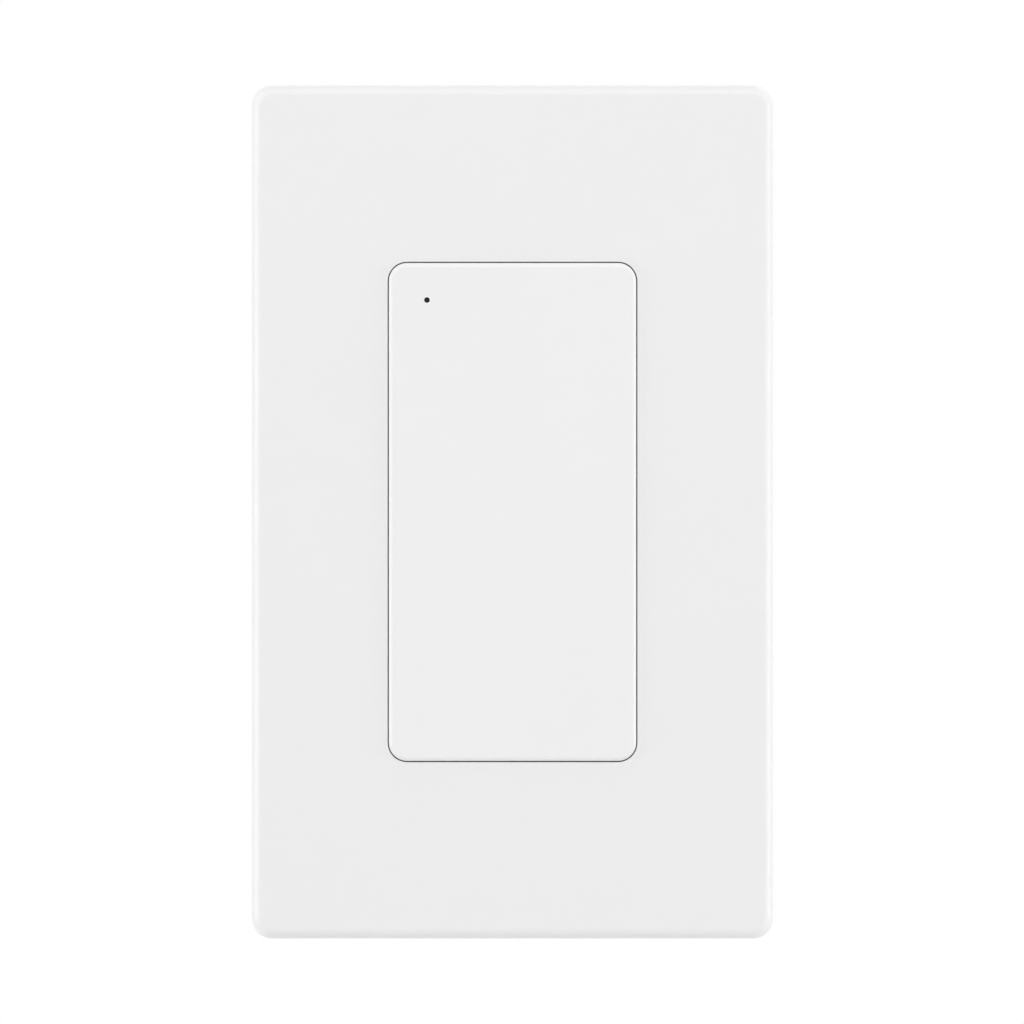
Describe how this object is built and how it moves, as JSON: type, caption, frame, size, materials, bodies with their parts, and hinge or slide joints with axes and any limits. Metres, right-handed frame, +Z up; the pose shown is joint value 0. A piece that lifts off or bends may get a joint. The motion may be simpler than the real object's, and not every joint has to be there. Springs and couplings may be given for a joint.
{
  "type": "smart light switch",
  "caption": "White smart wall switch: a flat rocker paddle with a small status dot, a screwless clip-on plate and a charcoal wall-box housing with side terminals.",
  "frame": {"origin": "midway between the two box screws, in the plane of the wall (the front faces of the wall box's screw ears)", "axes": "+Z up along the plate's long side, -Y out of the wall towards the user, +X to the viewer's right; +Y runs into the wall box"},
  "size_m": [0.0698, 0.0402, 0.1142],
  "materials": {
    "plate_white": "satin moulded",
    "paddle_white": "satin moulded",
    "carrier_white": "matte moulded",
    "frame_white": "matte moulded",
    "housing_charcoal": "fine grain moulded",
    "smoked_plastic": "polished, tinted",
    "clear_plastic": "clear",
    "lamp_white": "translucent white",
    "plated_steel": "zinc plated",
    "screw_steel": "zinc plated",
    "black_steel": "black oxide",
    "spring_steel": "drawn wire",
    "tinned_steel": "tin plated",
    "silver_steel": "nickel plated",
    "brass": "turned",
    "brass_plate": "stamped",
    "green_metal": "green passivated",
    "fibre_card": "vulcanised fibre",
    "board_green": "solder mask",
    "module_blue": "solder mask",
    "black_plastic": "moulded",
    "plunger_grey": "moulded",
    "barrier_white": "moulded sheet",
    "relay_black": "moulded case",
    "ferrite": "sintered",
    "winding_tape": "polyester tape",
    "capacitor_sleeve": "shrink sleeve",
    "film_yellow": "moulded box",
    "varistor_blue": "epoxy coat",
    "fuse_brown": "moulded case"
  },
  "bodies": {
    "switch": {"wall_plate": "plate_white", "plate_carrier": "carrier_white", "plate_screws": "screw_steel", "mounting_strap": "plated_steel", "box_screws": "screw_steel", "screw_retainers": "fibre_card", "front_frame": "frame_white", "rear_housing": "housing_charcoal", "housing_screws": "black_steel", "light_guide": "clear_plastic", "status_led": "lamp_white", "paddle_spring_left": "spring_steel", "paddle_spring_right": "spring_steel", "control_board": "board_green", "tact_switch_body": "black_plastic", "radio_module": "module_blue", "module_shield": "tinned_steel", "board_header": "black_plastic", "insulating_barrier": "barrier_white", "power_board": "board_green", "relay": "relay_black", "transformer_core": "ferrite", "transformer_winding": "winding_tape", "capacitors": "capacitor_sleeve", "film_capacitor": "film_yellow", "varistor": "varistor_blue", "fuse": "fuse_brown", "bridge_rectifier": "black_plastic", "choke": "ferrite", "terminal_plate_line": "brass_plate", "terminal_plate_load": "brass_plate", "terminal_plate_neutral": "brass_plate", "terminal_plate_ground": "brass_plate"},
    "paddle": {"paddle": "paddle_white", "indicator_lens": "smoked_plastic"},
    "tact_plunger": {"tact_plunger": "plunger_grey"},
    "clamp_line": {"clamp_plate_line": "plated_steel"},
    "screw_line": {"terminal_screw_line": "brass"},
    "clamp_load": {"clamp_plate_load": "plated_steel"},
    "screw_load": {"terminal_screw_load": "brass"},
    "clamp_neutral": {"clamp_plate_neutral": "plated_steel"},
    "screw_neutral": {"terminal_screw_neutral": "silver_steel"},
    "clamp_ground": {"clamp_plate_ground": "plated_steel"},
    "screw_ground": {"terminal_screw_ground": "green_metal"}
  },
  "joints": [
    {"name": "paddle_press", "type": "hinge", "parent": "switch", "child": "paddle", "pos_m": [0, -0.0043, 0.0278], "axis": [1, 0, 0], "range_deg": [0, 0.573], "stiffness_Nm_per_rad": 3, "springref_deg": -1.15, "deforming": ["paddle_spring_left", "paddle_spring_right"]},
    {"name": "plunger_travel", "type": "slide", "parent": "switch", "child": "tact_plunger", "axis": [0, 1, 0], "range_m": [0, 0.0003001]},
    {"name": "clamp_slide_line", "type": "slide", "parent": "switch", "child": "clamp_line", "axis": [1, 0, 0], "range_m": [0, 0.002]},
    {"name": "screw_turn_line", "type": "hinge", "parent": "clamp_line", "child": "screw_line", "pos_m": [0.01577, 0.019, 0.016], "axis": [1, 0, 0], "range_deg": [0, 907.2]},
    {"name": "clamp_slide_load", "type": "slide", "parent": "switch", "child": "clamp_load", "axis": [1, 0, 0], "range_m": [0, 0.002]},
    {"name": "screw_turn_load", "type": "hinge", "parent": "clamp_load", "child": "screw_load", "pos_m": [0.01577, 0.019, -0.016], "axis": [1, 0, 0], "range_deg": [0, 907.2]},
    {"name": "clamp_slide_neutral", "type": "slide", "parent": "switch", "child": "clamp_neutral", "axis": [-1, 0, 0], "range_m": [0, 0.002]},
    {"name": "screw_turn_neutral", "type": "hinge", "parent": "clamp_neutral", "child": "screw_neutral", "pos_m": [-0.01577, 0.019, 0.016], "axis": [-1, 0, 0], "range_deg": [0, 907.2]},
    {"name": "clamp_slide_ground", "type": "slide", "parent": "switch", "child": "clamp_ground", "axis": [-1, 0, 0], "range_m": [0, 0.002]},
    {"name": "screw_turn_ground", "type": "hinge", "parent": "clamp_ground", "child": "screw_ground", "pos_m": [-0.01577, 0.019, -0.016], "axis": [-1, 0, 0], "range_deg": [0, 907.2]}
  ],
  "couplings": [
    {"joint": "plunger_travel", "follows": "paddle_press", "m_per_rad": 0.03},
    {"joint": "screw_turn_line", "follows": "clamp_slide_line", "rad_per_m": 7915.8},
    {"joint": "screw_turn_load", "follows": "clamp_slide_load", "rad_per_m": 7915.8},
    {"joint": "screw_turn_neutral", "follows": "clamp_slide_neutral", "rad_per_m": 7915.8},
    {"joint": "screw_turn_ground", "follows": "clamp_slide_ground", "rad_per_m": 7915.8}
  ]
}
